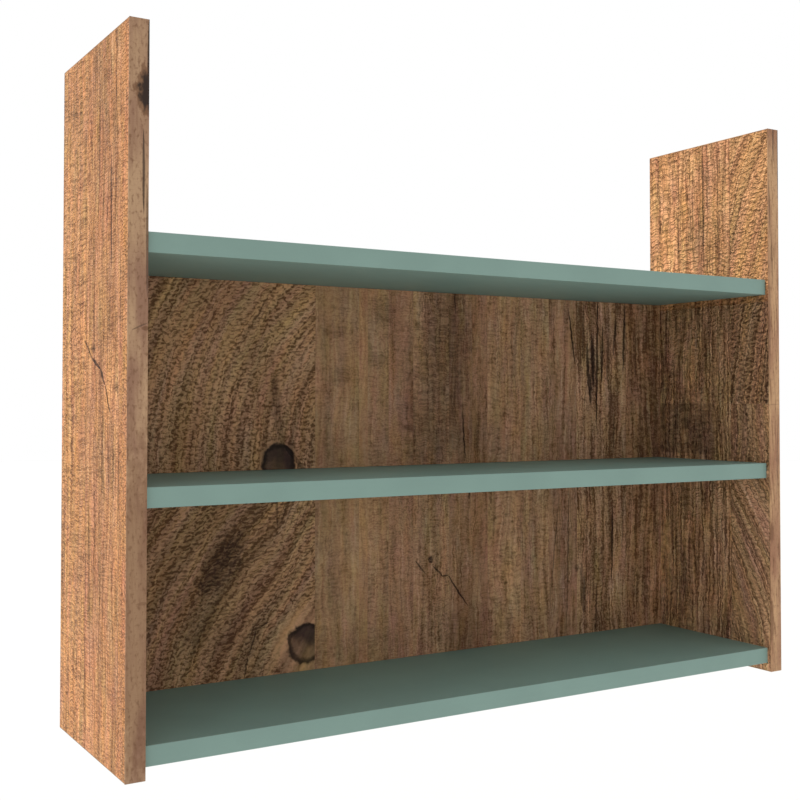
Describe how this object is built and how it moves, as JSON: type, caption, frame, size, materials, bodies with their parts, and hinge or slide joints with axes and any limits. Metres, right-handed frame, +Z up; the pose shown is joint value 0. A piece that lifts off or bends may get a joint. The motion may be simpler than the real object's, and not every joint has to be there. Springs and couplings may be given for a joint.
{
  "type": "wall shelf",
  "caption": "Wall shelf of wood-decor side and back panels with sage green shelves, held by cam locks and dowels and hung on keyhole plates.",
  "frame": {"origin": "on the wall plane, midway between the two keyholes' hanging points, on the rear face of the upper back panel", "axes": "+X along the shelves to the viewer's right, +Y into the wall, +Z up; the front faces -Y"},
  "size_m": [0.8, 0.205, 0.65],
  "materials": {
    "pine_decor": "faced chipboard, rough-sawn pine decor with an embossed grain",
    "pine_edge_band": "printed edge band, grey-brown pine",
    "sage_decor": "faced chipboard, plain matt sage green",
    "sage_edge_band": "plain matt sage green edge band",
    "die_cast_zinc": "die-cast zinc, satin",
    "plated_steel": "zinc-plated steel",
    "beech": "plain fluted beech"
  },
  "bodies": {
    "carcass": {"side_panel_left": "pine_decor", "side_panel_right": "pine_decor", "back_panel_upper": "pine_decor", "back_panel_lower": "pine_decor", "shelf_top": "sage_decor", "shelf_middle": "sage_decor", "shelf_bottom": "sage_decor", "edge_band_left_front": "pine_edge_band", "edge_band_left_top": "pine_edge_band", "edge_band_left_bottom": "pine_edge_band", "edge_band_right_front": "pine_edge_band", "edge_band_right_top": "pine_edge_band", "edge_band_right_bottom": "pine_edge_band", "edge_band_shelf_top": "sage_edge_band", "edge_band_shelf_middle": "sage_edge_band", "edge_band_shelf_bottom": "sage_edge_band", "cam_bolt_top_left_front": "plated_steel", "cam_bolt_top_left_rear": "plated_steel", "cam_bolt_top_right_front": "plated_steel", "cam_bolt_top_right_rear": "plated_steel", "cam_bolt_middle_left_front": "plated_steel", "cam_bolt_middle_left_rear": "plated_steel", "cam_bolt_middle_right_front": "plated_steel", "cam_bolt_middle_right_rear": "plated_steel", "cam_bolt_bottom_left_front": "plated_steel", "cam_bolt_bottom_left_rear": "plated_steel", "cam_bolt_bottom_right_front": "plated_steel", "cam_bolt_bottom_right_rear": "plated_steel", "dowel_shelf_top_left": "beech", "dowel_shelf_top_right": "beech", "dowel_shelf_middle_left": "beech", "dowel_shelf_middle_right": "beech", "dowel_shelf_bottom_left": "beech", "dowel_shelf_bottom_right": "beech", "dowel_back_upper_top_left": "beech", "dowel_back_upper_top_right": "beech", "dowel_back_upper_bottom_left": "beech", "dowel_back_upper_bottom_right": "beech", "dowel_back_lower_top_left": "beech", "dowel_back_lower_top_right": "beech", "dowel_back_lower_bottom_left": "beech", "dowel_back_lower_bottom_right": "beech", "hanger_plate_left": "plated_steel", "hanger_plate_right": "plated_steel", "hanger_screw_left_upper": "plated_steel", "hanger_screw_left_lower": "plated_steel", "hanger_screw_right_upper": "plated_steel", "hanger_screw_right_lower": "plated_steel"},
    "top_left_front_cam": {"cam_top_left_front": "die_cast_zinc"},
    "top_left_rear_cam": {"cam_top_left_rear": "die_cast_zinc"},
    "top_right_front_cam": {"cam_top_right_front": "die_cast_zinc"},
    "top_right_rear_cam": {"cam_top_right_rear": "die_cast_zinc"},
    "middle_left_front_cam": {"cam_middle_left_front": "die_cast_zinc"},
    "middle_left_rear_cam": {"cam_middle_left_rear": "die_cast_zinc"},
    "middle_right_front_cam": {"cam_middle_right_front": "die_cast_zinc"},
    "middle_right_rear_cam": {"cam_middle_right_rear": "die_cast_zinc"},
    "bottom_left_front_cam": {"cam_bottom_left_front": "die_cast_zinc"},
    "bottom_left_rear_cam": {"cam_bottom_left_rear": "die_cast_zinc"},
    "bottom_right_front_cam": {"cam_bottom_right_front": "die_cast_zinc"},
    "bottom_right_rear_cam": {"cam_bottom_right_rear": "die_cast_zinc"}
  },
  "joints": [
    {"name": "turn_top_left_front", "type": "hinge", "parent": "carcass", "child": "top_left_front_cam", "pos_m": [-0.3477, -0.163, 0.058], "axis": [0, 0, 1], "range_deg": [0, 180]},
    {"name": "turn_top_left_rear", "type": "hinge", "parent": "carcass", "child": "top_left_rear_cam", "pos_m": [-0.3477, -0.037, 0.058], "axis": [0, 0, 1], "range_deg": [0, 180]},
    {"name": "turn_top_right_front", "type": "hinge", "parent": "carcass", "child": "top_right_front_cam", "pos_m": [0.3477, -0.163, 0.058], "axis": [0, 0, 1], "range_deg": [0, 180]},
    {"name": "turn_top_right_rear", "type": "hinge", "parent": "carcass", "child": "top_right_rear_cam", "pos_m": [0.3477, -0.037, 0.058], "axis": [0, 0, 1], "range_deg": [0, 180]},
    {"name": "turn_middle_left_front", "type": "hinge", "parent": "carcass", "child": "middle_left_front_cam", "pos_m": [-0.3477, -0.163, -0.18], "axis": [0, 0, -1], "range_deg": [0, 180]},
    {"name": "turn_middle_left_rear", "type": "hinge", "parent": "carcass", "child": "middle_left_rear_cam", "pos_m": [-0.3477, -0.037, -0.18], "axis": [0, 0, -1], "range_deg": [0, 180]},
    {"name": "turn_middle_right_front", "type": "hinge", "parent": "carcass", "child": "middle_right_front_cam", "pos_m": [0.3477, -0.163, -0.18], "axis": [0, 0, -1], "range_deg": [0, 180]},
    {"name": "turn_middle_right_rear", "type": "hinge", "parent": "carcass", "child": "middle_right_rear_cam", "pos_m": [0.3477, -0.037, -0.18], "axis": [0, 0, -1], "range_deg": [0, 180]},
    {"name": "turn_bottom_left_front", "type": "hinge", "parent": "carcass", "child": "bottom_left_front_cam", "pos_m": [-0.3477, -0.163, -0.4], "axis": [0, 0, -1], "range_deg": [0, 180]},
    {"name": "turn_bottom_left_rear", "type": "hinge", "parent": "carcass", "child": "bottom_left_rear_cam", "pos_m": [-0.3477, -0.037, -0.4], "axis": [0, 0, -1], "range_deg": [0, 180]},
    {"name": "turn_bottom_right_front", "type": "hinge", "parent": "carcass", "child": "bottom_right_front_cam", "pos_m": [0.3477, -0.163, -0.4], "axis": [0, 0, -1], "range_deg": [0, 180]},
    {"name": "turn_bottom_right_rear", "type": "hinge", "parent": "carcass", "child": "bottom_right_rear_cam", "pos_m": [0.3477, -0.037, -0.4], "axis": [0, 0, -1], "range_deg": [0, 180]}
  ]
}
